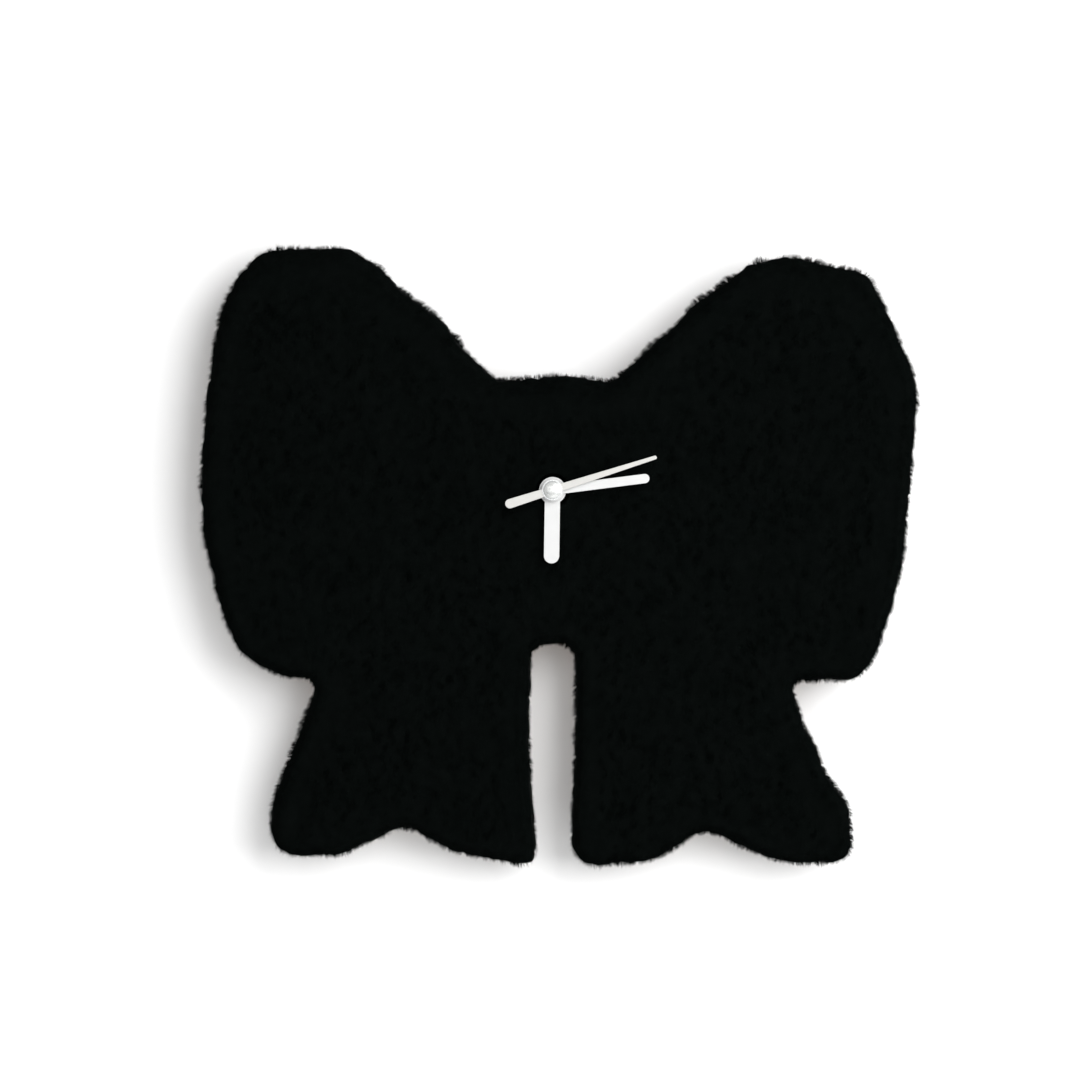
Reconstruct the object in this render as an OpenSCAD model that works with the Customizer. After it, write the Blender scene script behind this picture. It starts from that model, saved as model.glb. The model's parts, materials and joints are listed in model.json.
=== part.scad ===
// Bow-shaped wall clock: a padded board in long-pile fabric with a quartz movement behind it.
// Frame: origin where the hand axis meets the wall, +Z up, the dial faces -Y, +X is right from the front.
// Every sub-part is drawn in the dial plane: x to the right, y up, and z the distance from the wall.

/* [Bow] */
// Thickness of the backing board
board_t = 5; // [4:0.5:5]
// Thickness of the pile's woven backing
fabric_t = 1.2; // [0.8:0.1:1.4]
// Height of the pile in front of the woven backing
pile_front = 7.2; // [6:0.2:7.4]
// Depth of the pile beyond the board's edge
pile_side = 5; // [4:0.5:6]
// Depth of the pile behind the board, where the fabric is turned in
pile_back = 4; // [3:0.5:5]
// Width of the turned-in border, from the outline inwards
border_w = 15; // [13:1:15]

/* [Hands] */
// Clock angle of the hour hand
hour_angle = 180.9; // [0:0.1:360]
// Clock angle of the minute hand
minute_angle = 82.8; // [0:0.1:360]
// Clock angle of the second hand
second_angle = 72.4; // [0:0.1:360]
// Length of the hour hand from its axis
hour_len = 33.8; // [25:0.2:40]
// Width of the hour hand
hour_w = 7.1; // [5:0.1:9]
// Length of the minute hand from its axis
minute_len = 45.2; // [38:0.2:50]
// Width of the minute hand
minute_w = 4.3; // [3:0.1:6]
// Length of the second hand from its axis to its tip
second_len = 50.6; // [45:0.2:55]
// Length of the second hand's tail
second_tail = 22.8; // [18:0.2:26]
// Thickness of the sheet that the hands are stamped from
hand_t = 0.4; // [0.3:0.1:0.5]
// Radius of the domed cap
cap_r = 4.7; // [4:0.1:5.2]

/* [Movement case] */
// Width and height of the case
case_w = 56; // [56:0.5:60]
// Thickness of the case
case_t = 16; // [16:0.5:17]
// Wall thickness of the case
wall_t = 1.2; // [1:0.1:1.3]
// Distance from the wall to the joint between the two halves of the case
case_joint = 9; // [8.6:0.1:10]
// Corner radius of the case
case_corner_r = 3; // [2:0.5:4]

/* [Fixing] */
// Outer radius of the threaded bushing
bushing_r = 3.95; // [3.8:0.05:4.2]
// Width of the hex nut across its flats
nut_flats = 11; // [10:0.5:12]
// Thickness of the hex nut
nut_t = 2.5; // [2:0.1:2.8]
// Radius of the brass washer
washer_r = 7; // [6.6:0.1:7.5]
// Thickness of the rubber washer
rubber_t = 0.8; // [0.6:0.1:1]
// Thickness of the hanger's sheet steel
hanger_t = 0.8; // [0.6:0.1:1]
// Radius of the hanger's eye
eye_r = 3; // [2.5:0.1:3.5]
// Height of the hanger's eye above the hand axis
eye_height = 37; // [36:0.5:38]

/* [Battery] */
// Radius of the cell
cell_r = 7.1; // [6.9:0.1:7.1]
// Length of the cell without its positive cap
cell_len = 49.2; // [48.6:0.1:49.2]

/* [Gear train] */
// Teeth on the rotor pinion
rotor_teeth = 8; // [8:1:8]
// Teeth on the intermediate wheel
intermediate_teeth = 48; // [48:1:48]
// Teeth on the intermediate pinion
intermediate_pinion_teeth = 10; // [10:1:10]
// Teeth on the second wheel
second_teeth = 50; // [50:1:50]
// Teeth on the second pinion
second_pinion_teeth = 8; // [8:1:8]
// Teeth on the third wheel
third_teeth = 64; // [64:1:64]
// Teeth on the third pinion
third_pinion_teeth = 8; // [8:1:8]
// Teeth on the centre wheel
centre_teeth = 60; // [60:1:60]
// Teeth on the minute pinion, and on the setting pinion
minute_pinion_teeth = 12; // [12:1:12]
// Teeth on the minute wheel
minute_teeth = 36; // [36:1:36]
// Teeth on the minute wheel's pinion
minute_wheel_pinion_teeth = 10; // [10:1:10]
// Teeth on the hour wheel
hour_teeth = 40; // [40:1:40]

/* [Hidden] */
$fn = 48;

// Corners of the bow, clockwise from the left lobe's top: [x, y, fillet radius]
bow_corners = [
    [-147.9, 100.3, 50], [-135.8, 113, 22], [-94.6, 113.9, 22], [-79.4, 103.8, 10], [-70, 93.2, 6],
    [-51, 79.3, 6], [-44, 69, 12], [-26, 51.5, 5], [3, 54, 60], [28, 51, 5], [45, 67.2, 15], [54, 74.7, 10],
    [66, 86.8, 12], [79, 96.3, 12], [90, 105.3, 12], [110, 109.5, 30], [147.5, 100.8, 10],
    [167, 58, 10], [169.8, 45, 12], [167, 10, 60], [163.3, -30, 40], [157.9, -54, 25],
    [149.8, -77, 12], [142, -88, 9], [110.3, -88.3, 4], [116, -107, 20], [122.3, -119, 12],
    [127, -132, 12], [138, -146.5, 12], [139.6, -173, 10], [104, -172.7, 25], [70, -157, 12],
    [47, -172, 20], [7.8, -175.4, 12], [8.4, -148, 30], [10, -115, 60], [9.8, -71, 7],
    [-10, -71.3, 7], [-11, -118, 60], [-9, -150, 30], [-7, -175.3, 6],
    [-47, -167.9, 25], [-69, -155, 12], [-98, -169.6, 22], [-132.6, -170.1, 13], [-131.3, -146, 20],
    [-109, -87.2, 5], [-126, -86.9, 20], [-146.3, -75.8, 14], [-156.2, -52.3, 20], [-158.8, -38, 15],
    [-163.3, -21, 30], [-164.5, 5, 60], [-162.6, 38, 40], [-160.3, 54, 40], [-157.5, 76, 20],
    [-154.3, 87, 20]
];
arc_step = 10;          // largest turn between two points of a fillet, in degrees
min_fillet = 0.5;

// Distances from the wall
plate_back = 7;
plate_front = 8;
front_wall = case_t - wall_t;
board_back = case_t + hanger_t + rubber_t;
board_front = board_back + board_t;
pile_floor = board_front + fabric_t;
pile_top = pile_floor + pile_front;
border_back = board_back - fabric_t - pile_back;
washer_t = 0.6;
nut_back = pile_floor + washer_t;
bushing_front = nut_back + nut_t + 0.9;
hour_back = pile_top + 0.5;
minute_back = hour_back + 1.8;
second_back = minute_back + 1.7;
hour_pipe_end = hour_back + hand_t + 0.1;
minute_pipe_end = minute_back + hand_t + 0.3;
cap_back = second_back + hand_t;
cap_rim_t = 0.3;
cap_dome_h = 1.4;
second_pin_end = cap_back;

// Pile
pile_round = 2.6;       // how far the pile's front edge is rounded in
pile_shoulder = pile_top - 2.4;
nut_pocket_r = 8.5;
bushing_hole_r = bushing_r + 0.15;

// Shafts
run_gap = 0.05;
pin_r = 0.45;
minute_bore_r = pin_r + run_gap;
minute_pipe_r = 1.6;
hour_bore_r = minute_pipe_r + run_gap;
hour_pipe_r = 2.55;
bushing_bore_r = hour_pipe_r + run_gap;
pivot_r = 0.3;
knob_shaft_r = 1.4;
knob_pivot_r = 0.8;

// Gear modules and teeth; a tooth is [height in modules, half width as a share of half the pitch]
rotor_module = 0.25;
train_module = 0.3;
motion_module = 0.35;
wheel_tooth = [[-1.15, -0.5], [0, -0.42], [0.8, -0.2], [0.8, 0.2], [0, 0.42], [-1.15, 0.5]];
pinion_tooth = [[-1.15, -0.4], [0, -0.4], [0.8, -0.18], [0.8, 0.18], [0, 0.4], [-1.15, 0.4]];
third_distance = mesh_distance(second_pinion_teeth, third_teeth, train_module);
centre_module = 2 * third_distance / (third_pinion_teeth + centre_teeth);
motion_distance = mesh_distance(minute_pinion_teeth, minute_teeth, motion_module);
hour_module = 2 * motion_distance / (minute_wheel_pinion_teeth + hour_teeth);

// Directions from one gear axis to the next, in degrees, and the axes
intermediate_dir = 130;
rotor_dir = 150;
third_dir = 20;
minute_dir = 90;
knob_dir = 60;
intermediate_distance = mesh_distance(intermediate_pinion_teeth, second_teeth, train_module);
rotor_distance = mesh_distance(rotor_teeth, intermediate_teeth, rotor_module);
intermediate_at = polar(intermediate_distance, intermediate_dir);
rotor_at = intermediate_at + polar(rotor_distance, rotor_dir);
third_at = polar(third_distance, third_dir);
minute_at = polar(motion_distance, minute_dir);
knob_at = minute_at + polar(motion_distance, knob_dir);

// Turns that bring each gear into mesh with the one before it
intermediate_turn = mesh_turn(second_teeth, 0, intermediate_pinion_teeth, intermediate_dir);
rotor_turn = mesh_turn(intermediate_teeth, 0, rotor_teeth, rotor_dir);
third_turn = mesh_turn(second_pinion_teeth, 0, third_teeth, third_dir);
centre_turn = mesh_turn(third_pinion_teeth, 0, centre_teeth, third_dir + 180);
minute_turn = mesh_turn(minute_pinion_teeth, 0, minute_teeth, minute_dir);
hour_turn = mesh_turn(minute_wheel_pinion_teeth, 0, hour_teeth, minute_dir + 180);
knob_turn = mesh_turn(minute_teeth, minute_turn, minute_pinion_teeth, knob_dir);

// Battery bay
bay_top = -11.6;
divider_t = 1;
cell_at = [case_w / 2 - wall_t - 1.6, -19.3];
cell_depth = 7.4;
cell_cap_r = 2.75;
cell_cap_h = 1;
contact_t = 0.4;
contact_x = case_w / 2 - wall_t - 0.1 - contact_t;
contact_low = -24;
strip_y = bay_top + divider_t + 0.1;

// Circuit board
circuit_left = -18;
circuit_right = -3.5;
circuit_top = 3;
circuit_front = wall_t + 0.8;

// Coil
coil_x = -21.5;
coil_depth = 4.1;
coil_low = -3.5;
coil_high = 17.5;
core_w = 2.4;
core_t = 1;
core_low = -7;
core_high = 21.5;
stator_back = 2.8;
stator_t = 0.8;
magnet_r = 2.5;
arm_w = 3.6;
arm_x = -15.6;
pads = [[coil_x, core_low + 1.4], [coil_x, core_high - 1.9]];

// Knob and posts
knob_r = 5.8;
recess_r = 6.4;
recess_depth = 2.2;
flutes = 18;
post_r = 1.3;
posts = [[-25, 24.8], [25, 24.8], [25, -8.3], [-25, -8.3]];
snap_rows = [-3, 14];

// ---- Functions ----

function polar(r, a) = [r * cos(a), r * sin(a)];
function unit(v) = v / norm(v);
function right_of(v) = [v[1], -v[0]];
function turned(v, a) = [v[0] * cos(a) - v[1] * sin(a), v[0] * sin(a) + v[1] * cos(a)];
function flat2(v) = [v[0], v[1]];

// Distance between the axes of two gears in mesh
function mesh_distance(teeth_a, teeth_b, size) = (teeth_a + teeth_b) * size / 2;

// Turn of gear b that puts its gaps on gear a's teeth, b lying in direction dir from a
function mesh_turn(teeth_a, turn_a, teeth_b, dir) =
    (teeth_a * (dir - turn_a) + teeth_b * (dir + 180) - 180) / teeth_b;

// Points of a clockwise outline with filleted corners, moved inwards by inset
function outline(corners, inset = 0) =
    [for (i = [0 : len(corners) - 1])
        let (last = corners[(i + len(corners) - 1) % len(corners)],
             here = corners[i],
             next = corners[(i + 1) % len(corners)],
             dir_in = unit(flat2(here - last)),
             dir_out = unit(flat2(next - here)),
             side_in = right_of(dir_in),
             side_out = right_of(dir_out),
             corner = flat2(here) + inset * (side_in + side_out) / (1 + side_in * side_out),
             bend = acos(dir_in * dir_out),
             convex = cross(dir_in, dir_out) < 0 ? 1 : -1,
             radius = max(here[2] - convex * inset, here[2] == 0 ? 0 : min_fillet),
             start = corner - dir_in * radius * tan(bend / 2),
             centre = start + side_in * radius * convex,
             steps = radius == 0 ? 1 : ceil(bend / arc_step))
        for (k = [0 : steps])
            if (radius > 0 || k == 0)
                centre + turned(start - centre, -convex * bend * k / steps)];

// Corners of a rectangle of one fillet radius, clockwise
function rectangle(x0, y0, x1, y1, r) = [[x0, y0, r], [x0, y1, r], [x1, y1, r], [x1, y0, r]];

// Points of a gear of one tooth shape, its first tooth towards +X
function gear_points(teeth, size, tooth) =
    [for (k = [0 : teeth - 1], edge = tooth)
        polar(teeth * size / 2 + edge[0] * size, (2 * k + edge[1]) * 180 / teeth)];

// Points of a knurled disc
function knurl_points(r, depth, count) =
    [for (a = [0 : 360 / (6 * count) : 359.9]) polar(r - depth * (1 - cos(count * a)) / 2, a)];

// Corners of a bar of width w from p to q, its ends rounded
function bar(p, q, w) =
    let (along = unit(q - p), side = right_of(along) * w / 2, r = w * 0.49)
    [[each p + side, r], [each p - side, r], [each q - side, r], [each q + side, r]];

// ---- Shared shapes ----

module dial_plane() {
    rotate([90, 0, 0]) children();
}

module slab(d0, d1) {
    translate([0, 0, d0]) linear_extrude(d1 - d0) children();
}

module disc(r, d0, d1, at = [0, 0]) {
    translate([at[0], at[1], d0]) cylinder(r = r, h = d1 - d0);
}

module box(x0, y0, d0, x1, y1, d1) {
    translate([x0, y0, d0]) cube([x1 - x0, y1 - y0, d1 - d0]);
}

module wheel(teeth, size, d0, d1, turn = 0) {
    rotate(turn) slab(d0, d1) polygon(gear_points(teeth, size, wheel_tooth));
}

module pinion(teeth, size, d0, d1, turn = 0) {
    rotate(turn) slab(d0, d1) polygon(gear_points(teeth, size, pinion_tooth));
}

// A thinner web between a wheel's hub and its rim, cut from both faces
module web_cut(hub_r, rim_r, d0, d1) {
    cut = (d1 - d0) / 4;
    for (from = [d0 - cut, d1 - cut])
        difference() {
            disc(rim_r, from, from + 2 * cut);
            disc(hub_r, from - cut, from + 3 * cut);
        }
}

module case_outline(inset) {
    polygon(outline(rectangle(-case_w / 2, -case_w / 2, case_w / 2, case_w / 2, case_corner_r), inset));
}

// ---- Covering and board ----

module fur_cover() {
    color("#0b0c0d") dial_plane() difference() {
        union() {
            slab(border_back, pile_shoulder) polygon(outline(bow_corners));
            slab(pile_shoulder, pile_top) polygon(outline(bow_corners, pile_round));
        }
        slab(board_back, board_front) polygon(outline(bow_corners, pile_side + fabric_t));
        slab(border_back - 1, board_back) polygon(outline(bow_corners, border_w));
        disc(bushing_hole_r, board_front - 1, pile_top);
        disc(nut_pocket_r, pile_floor, pile_top + 1);
    }
}

module backing_board() {
    color("#b08a5e") dial_plane() difference() {
        slab(board_back, board_front) polygon(outline(bow_corners, pile_side + fabric_t));
        disc(bushing_hole_r, board_back - 1, board_front + 1);
    }
}

// ---- Movement case ----

module front_case() {
    color("#141516") dial_plane() difference() {
        union() {
            slab(front_wall, case_t) case_outline(0);
            difference() {
                slab(case_joint, front_wall) case_outline(0);
                slab(case_joint - 1, front_wall) case_outline(wall_t);
            }
            for (at = posts)
                disc(post_r, plate_front, front_wall, at);
            disc(0.6, 10.4, front_wall, minute_at);
            disc(1.5, 11, front_wall, third_at);
            disc(2, 12.2, front_wall, knob_at);
            for (side = [-1, 1], y = snap_rows)
                snap_tab(y);
        }
        disc(bushing_r, front_wall - 1, case_t + 1);
        disc(pivot_r + run_gap, 10, 13, third_at);
        disc(knob_pivot_r + run_gap, 12, 14.2, knob_at);
    }
}

module snap_tab(y) {
    x = case_w / 2;
    difference() {
        box(x - 0.65, y - 3.7, 5.4, x, y + 3.7, case_joint + 0.5);
        box(x - 1, y - 1.8, 6.4, x + 1, y + 1.8, 7.6);
    }
}

module rear_case() {
    x = case_w / 2;
    inner = x - wall_t;
    color("#141516") dial_plane() difference() {
        union() {
            slab(0, wall_t) case_outline(0);
            difference() {
                slab(wall_t, case_joint) case_outline(0);
                slab(0, case_joint + 1) case_outline(wall_t);
                for (side = [-1, 1], y = snap_rows)
                    box(x - 0.75, y - 4, 5, x + 1, y + 4, case_joint + 1);
            }
            for (side = [-1, 1], y = snap_rows)
                box(x - 0.9, y - 1.6, 6.5, x - 0.1, y + 1.6, 7.5);
            box(-contact_x + 0.2, bay_top, 0, contact_x - 0.2, bay_top + divider_t, front_wall);
            for (at = posts)
                disc(post_r, wall_t, plate_back, at);
            for (pad = pads)
                disc(1, wall_t, stator_back, pad);
            disc(recess_r + 1, 0, recess_depth + 1, knob_at);
            disc(1.2, wall_t, 2.2, rotor_at);
            disc(1.2, wall_t, 2.4, intermediate_at);
            disc(1.5, wall_t, 2.6);
            disc(1.5, wall_t, 3, third_at);
        }
        box(-contact_x + 0.2, -inner, -1, contact_x - 0.2, bay_top, wall_t + 1);
        disc(recess_r, -1, recess_depth, knob_at);
        disc(knob_shaft_r + run_gap, 0, recess_depth + 2, knob_at);
        disc(pivot_r + run_gap, 1.4, 3, rotor_at);
        disc(pivot_r + run_gap, 1.4, 3, intermediate_at);
        disc(pivot_r + run_gap, 1.4, 3);
        disc(pivot_r + run_gap, 1.4, 4, third_at);
    }
}

module gear_plate() {
    x = case_w / 2 - wall_t - 0.3;
    color("#e9e6dc") dial_plane() difference() {
        slab(plate_back, plate_front) polygon(outline(rectangle(-x, bay_top + divider_t + 0.3, x, x, 2)));
        disc(0.7 + run_gap, plate_back - 1, plate_front + 1);
        disc(1.9, plate_back - 1, plate_front + 1, third_at);
        disc(knob_shaft_r + run_gap, plate_back - 1, plate_front + 1, knob_at);
        for (at = [rotor_at, intermediate_at])
            disc(pivot_r + run_gap, plate_back - 1, plate_front + 1, at);
    }
}

// ---- Fixing to the board and to the wall ----

// Brass bushing; ring grooves stand for its fine thread
module threaded_bushing() {
    pitch = 0.75;
    groove = 0.35;
    thread_back = board_front + 0.6;
    thread_count = floor((bushing_front - thread_back) / pitch);
    color("#c9a24b") dial_plane() difference() {
        union() {
            disc(bushing_r, front_wall, bushing_front);
            disc(5.2, 13.9, front_wall);
        }
        disc(bushing_bore_r, 13, bushing_front + 1);
        for (k = [0 : thread_count - 1])
            translate([0, 0, thread_back + k * pitch])
                rotate_extrude()
                    polygon([[bushing_r - groove, groove], [bushing_r + 1, -0.02 - groove],
                             [bushing_r + 1, 2 * groove + 0.02 + groove]]);
    }
}

module hex_nut() {
    corner_r = nut_flats / sqrt(3);
    bevel = 0.5;
    color("#c9a24b") dial_plane() difference() {
        intersection() {
            translate([0, 0, nut_back]) cylinder(r = corner_r, h = nut_t, $fn = 6);
            rotate_extrude()
                polygon([[0, nut_back], [corner_r - bevel, nut_back], [corner_r + 0.1, nut_back + bevel],
                         [corner_r + 0.1, nut_back + nut_t - bevel], [corner_r - bevel, nut_back + nut_t],
                         [0, nut_back + nut_t]]);
        }
        disc(bushing_r, nut_back - 1, nut_back + nut_t + 1);
    }
}

module ring(outer, inner, d0, d1) {
    difference() {
        disc(outer, d0, d1);
        disc(inner, d0 - 1, d1 + 1);
    }
}

module brass_washer() {
    color("#c9a24b") dial_plane() ring(washer_r, bushing_hole_r, pile_floor, nut_back);
}

module rubber_washer() {
    color("#1c1c1c") dial_plane() ring(9.5, bushing_hole_r, case_t + hanger_t, board_back);
}

// Sheet steel: held under the case by the bushing, stepped back over the top, with an eye for a nail
module hanger_plate() {
    step_low = case_w / 2 + 0.4;
    step_high = step_low + hanger_t;
    eye_back = 4;
    eye_front = eye_back + hanger_t;
    tab_r = 8;
    top = eye_height + tab_r;
    side_view = [[-10, case_t, 0], [-10, case_t + hanger_t, 0], [step_high, case_t + hanger_t, 1.2],
                 [step_high, eye_front, 0.4], [top, eye_front, 0], [top, eye_back, 0],
                 [step_low, eye_back, 1.2], [step_low, case_t, 0.4]];
    color("#b9bcc0") dial_plane() difference() {
        intersection() {
            translate([-tab_r, 0, 0]) rotate([90, 0, 90])
                linear_extrude(2 * tab_r) polygon(outline(side_view));
            slab(0, case_t + 2) polygon(outline([[-tab_r, -10, 3], [-tab_r, top, 7.6], [tab_r, top, 7.6],
                                                 [tab_r, -10, 3]]));
        }
        disc(bushing_hole_r, case_t - 1, case_t + 2);
        disc(eye_r, 0, eye_front + 1, [0, eye_height]);
    }
}

// ---- Motor and circuit ----

module stator_plate() {
    stator_front = stator_back + stator_t;
    color("#8d9094") dial_plane() difference() {
        union() {
            disc(magnet_r + 1.9, stator_back, stator_front, rotor_at);
            for (pad = pads, end = [rotor_at, pad])
                slab(stator_back, stator_front) polygon(outline(bar([arm_x, pad[1]], end, arm_w)));
        }
        disc(magnet_r + 0.5, stator_back - 1, stator_front + 1, rotor_at);
    }
}

module core_bar(extra, y0, y1) {
    box(coil_x - core_w / 2 - extra, y0, coil_depth - core_t / 2 - extra,
        coil_x + core_w / 2 + extra, y1, coil_depth + core_t / 2 + extra);
}

// A round bar along the coil
module coil_disc(r, y0, y1) {
    translate([coil_x, y1, coil_depth]) rotate([90, 0, 0]) cylinder(r = r, h = y1 - y0);
}

module coil_core() {
    color("#8d9094") dial_plane() core_bar(0, core_low, core_high);
}

module coil_bobbin() {
    flange_t = 0.8;
    color("#e8e0c8") dial_plane() difference() {
        union() {
            coil_disc(2.8, coil_low, coil_low + flange_t);
            coil_disc(2.8, coil_high - flange_t, coil_high);
            core_bar(0.4, coil_low + flange_t / 2, coil_high - flange_t / 2);
        }
        core_bar(0, core_low, core_high);
    }
}

module coil_winding() {
    color("#a2561f") dial_plane() difference() {
        coil_disc(2.5, coil_low + 0.8, coil_high - 0.8);
        core_bar(0.4, core_low, core_high);
    }
}

module circuit_board() {
    color("#2f7a3b") dial_plane()
        box(circuit_left, strip_y + 0.3, wall_t, circuit_right, circuit_top, circuit_front);
}

// Drop of epoxy over the chip
module clock_chip() {
    blob_r = 4;
    blob_h = 0.8;
    color("#0d0d0d") dial_plane() translate([-13.5, -2, 0]) intersection() {
        translate([0, 0, circuit_front + blob_h - blob_r]) sphere(r = blob_r);
        disc(blob_r, circuit_front, circuit_front + blob_h + 1);
    }
}

// Crystal in a round can that lies over the board on its two bent leads
module quartz_crystal() {
    can_r = 1;
    can_h = 6;
    can_lift = 1.2;
    lead_out = 1.2;
    lead_t = 0.3;
    color("#c8ccd0") dial_plane() translate([-13, -8.7, circuit_front]) {
        translate([0, 0, can_lift]) rotate([0, 90, 0]) cylinder(r = can_r, h = can_h);
        for (y = [-0.55, 0.25]) {
            box(-lead_out, y, can_lift - lead_t / 2, 0, y + lead_t, can_lift + lead_t / 2);
            box(-lead_out, y, 0, lead_t - lead_out, y + lead_t, can_lift);
        }
    }
}

module battery() {
    crimp = 0.5;
    profile = [[0, 0], [cell_r - crimp, 0], [cell_r, crimp], [cell_r, cell_len - crimp],
               [cell_r - crimp, cell_len], [cell_cap_r, cell_len], [cell_cap_r, cell_len + cell_cap_h],
               [0, cell_len + cell_cap_h]];
    color("#3c4a5c") dial_plane() translate([cell_at[0] - cell_len, cell_at[1], cell_depth])
        rotate([0, 90, 0]) rotate_extrude() polygon(profile);
}

// A contact's end plate, and the strip and foot that bring it to the circuit board at foot_x
module contact_strip(foot_x) {
    foot_w = 1;
    box(contact_x, contact_low, 3, contact_x + contact_t, strip_y + contact_t, 11.5);
    box(foot_x, strip_y, 2.4, contact_x + contact_t, strip_y + contact_t, 4.4);
    box(foot_x, strip_y, circuit_front, foot_x + foot_w, strip_y + 2, 2.8);
}

module positive_contact() {
    color("#c8ccd0") dial_plane() contact_strip(circuit_right - 1.7);
}

// The negative contact has a bowed leaf that pushes on the cell
module negative_contact() {
    leaf_x = -contact_x + 0.2;
    leaf_t = 0.3;
    crest_x = cell_at[0] - cell_len - run_gap;
    leaf_top = 2 * cell_at[1] - contact_low;
    leaf = [[leaf_x - leaf_t, contact_low, 0], [crest_x - leaf_t, cell_at[1], 4], [leaf_x, leaf_top, 0],
            [leaf_x + leaf_t, leaf_top, 0], [crest_x, cell_at[1], 4], [leaf_x, contact_low, 0]];
    color("#c8ccd0") dial_plane() {
        mirror([1, 0, 0]) contact_strip(-circuit_left - 1.5);
        slab(5, 10) polygon(outline(leaf));
    }
}

// ---- Seconds train ----

module rotor_magnet() {
    color("#3a3a3d") dial_plane() translate(rotor_at) ring(magnet_r, 0.6, 2.4, 4);
}

module rotor_pinion() {
    color("#f2efe6") dial_plane() translate(rotor_at) {
        disc(pivot_r, 1.5, plate_front - 0.2);
        disc(0.6, 2.3, 6.6);
        pinion(rotor_teeth, rotor_module, 4.2, 5.6, rotor_turn);
    }
}

module intermediate_wheel() {
    color("#f2efe6") dial_plane() translate(intermediate_at) {
        disc(pivot_r, 1.5, plate_front - 0.2);
        disc(0.7, 2.5, 6.8);
        pinion(intermediate_pinion_teeth, train_module, 3, 4.4, intermediate_turn);
        difference() {
            wheel(intermediate_teeth, rotor_module, 4.6, 5.2);
            web_cut(1.6, 4.8, 4.6, 5.2);
        }
    }
}

// Second wheel with its pinion and the long pin that carries the second hand
module second_wheel() {
    color("#d8dadc") dial_plane() {
        disc(pivot_r, 1.5, 2.7);
        disc(0.7, 2.7, plate_front + 0.4);
        disc(pin_r, plate_front, second_pin_end);
        pinion(second_pinion_teeth, train_module, 4.3, 6.6);
        difference() {
            wheel(second_teeth, train_module, 3.2, 3.8);
            web_cut(1.8, 6.2, 3.2, 3.8);
        }
    }
}

module third_wheel() {
    color("#f2efe6") dial_plane() translate(third_at) {
        disc(pivot_r, 1.5, 12.6);
        disc(0.8, 3.1, 8.6);
        pinion(third_pinion_teeth, centre_module, 8.4, 10.2);
        difference() {
            wheel(third_teeth, train_module, 5.6, 6.2, third_turn);
            web_cut(1.8, 8.4, 5.6, 6.2);
        }
    }
}

module centre_wheel() {
    color("#f2efe6") dial_plane() difference() {
        wheel(centre_teeth, centre_module, 8.9, 9.5, centre_turn);
        disc(1.2 + run_gap, 8, 10);
        web_cut(2.6, 8.2, 8.9, 9.5);
    }
}

// ---- Hand-setting train ----

// Dished washer between the centre wheel and the minute pinion: the clutch that slips when the hands are set
module clutch_spring() {
    color("#b9bcc0") dial_plane() rotate_extrude()
        polygon([[1.2, 10], [1.2, 10.2], [2.3, 9.75], [2.3, 9.55]]);
}

module minute_arbor() {
    color("#c9a24b") dial_plane() difference() {
        union() {
            disc(2, 8.55, 8.8);
            disc(1.2, 8.6, 10.4);
            pinion(minute_pinion_teeth, motion_module, 10.2, 11.8);
            disc(minute_pipe_r, 11.6, minute_pipe_end);
        }
        disc(minute_bore_r, 8, minute_pipe_end + 1);
    }
}

module minute_wheel() {
    color("#f2efe6") dial_plane() translate(minute_at) difference() {
        union() {
            wheel(minute_teeth, motion_module, 10.6, 11.2, minute_turn);
            pinion(minute_wheel_pinion_teeth, hour_module, 11, 13.8);
        }
        disc(0.6 + run_gap, 10, 14);
        web_cut(2.6, 5, 10.6, 11.2);
    }
}

module hour_wheel() {
    color("#f2efe6") dial_plane() difference() {
        union() {
            wheel(hour_teeth, hour_module, 12.6, 13.4, hour_turn);
            disc(3.2, 12.2, 13.8);
            disc(hour_pipe_r, 13.6, hour_pipe_end);
        }
        disc(hour_bore_r, 12, hour_pipe_end + 1);
        web_cut(4, 5.6, 12.6, 13.4);
    }
}

module setting_knob() {
    color("#e3e3e1") dial_plane() translate(knob_at) {
        slab(0.9, recess_depth - 0.2) polygon(knurl_points(knob_r, 0.4, flutes));
        slab(0.3, 1) polygon(outline(bar([-3.4, 0], [3.4, 0], 1.8)));
        disc(knob_shaft_r, recess_depth - 0.4, 10);
        pinion(minute_pinion_teeth, motion_module, 9.8, 11.6, knob_turn);
        disc(knob_pivot_r, 11.4, 13.8);
    }
}

// ---- Hands ----

module hour_hand() {
    color("white") dial_plane() rotate(-hour_angle) difference() {
        union() {
            disc(6.25, hour_back, hour_back + hand_t);
            slab(hour_back, hour_back + hand_t) polygon(outline(bar([0, 0], [0, hour_len], hour_w)));
            disc(3.3, hour_back - 1.2, hour_back + 0.1);
        }
        disc(hour_pipe_r, hour_back - 2, hour_back + 2);
    }
}

module minute_hand() {
    color("white") dial_plane() rotate(-minute_angle) difference() {
        union() {
            disc(5.3, minute_back, minute_back + hand_t);
            slab(minute_back, minute_back + hand_t) polygon(outline(bar([0, 0], [0, minute_len], minute_w)));
            disc(2.3, minute_back - 0.9, minute_back + 0.1);
        }
        disc(minute_pipe_r, minute_back - 2, minute_back + 2);
    }
}

// The blade widens evenly from its tip to its round tail
module second_hand() {
    tip_w = 1.7;
    tail_w = 4.4;
    blade = [[-tail_w / 2, -second_tail, tail_w * 0.48], [-tip_w / 2, second_len, tip_w * 0.45],
             [tip_w / 2, second_len, tip_w * 0.45], [tail_w / 2, -second_tail, tail_w * 0.48]];
    color("#f4f2ea") dial_plane() rotate(-second_angle) difference() {
        union() {
            disc(3.2, second_back, second_back + hand_t);
            slab(second_back, second_back + hand_t) polygon(outline(blade));
        }
        disc(pin_r, second_back - 1, second_back + 1);
    }
}

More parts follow.
